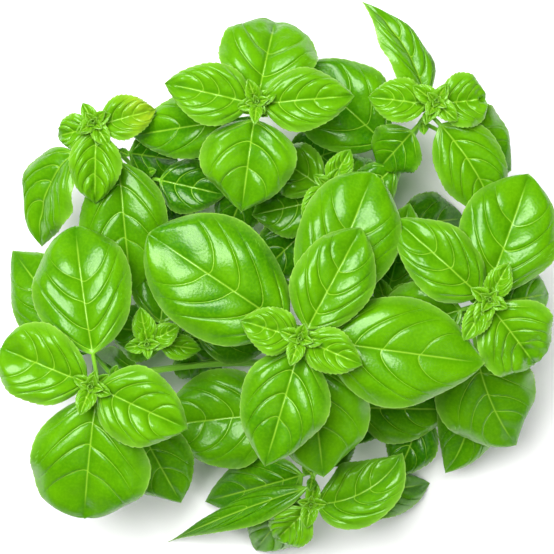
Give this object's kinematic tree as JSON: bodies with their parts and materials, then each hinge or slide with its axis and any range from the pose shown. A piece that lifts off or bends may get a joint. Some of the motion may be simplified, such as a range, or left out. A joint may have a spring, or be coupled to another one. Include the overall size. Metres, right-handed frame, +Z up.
{
  "type": "basil bunch",
  "caption": "Loose bunch of cut basil lying on its side, its stems gathered at one edge and its leafy tips turned up.",
  "frame": {"origin": "on the table, under the middle of the bunch's box", "axes": "+Z up from the table, +Y towards the back of the bunch, +X to its right, where the cut ends lie at the front"},
  "size_m": [0.2528, 0.2603, 0.1188],
  "materials": {
    "leafy_stem": "glossy fresh green leaf with paler veins, on a smooth pale green stem"
  },
  "bodies": {
    "root": {"sprig_centre": "leafy_stem", "sprig_back": "leafy_stem", "sprig_front_left": "leafy_stem", "sprig_right": "leafy_stem", "sprig_back_right": "leafy_stem", "sprig_back_left": "leafy_stem", "sprig_front": "leafy_stem", "sprig_inner_left": "leafy_stem", "sprig_inner_back": "leafy_stem", "sprig_inner_right": "leafy_stem"}
  },
  "joints": []
}
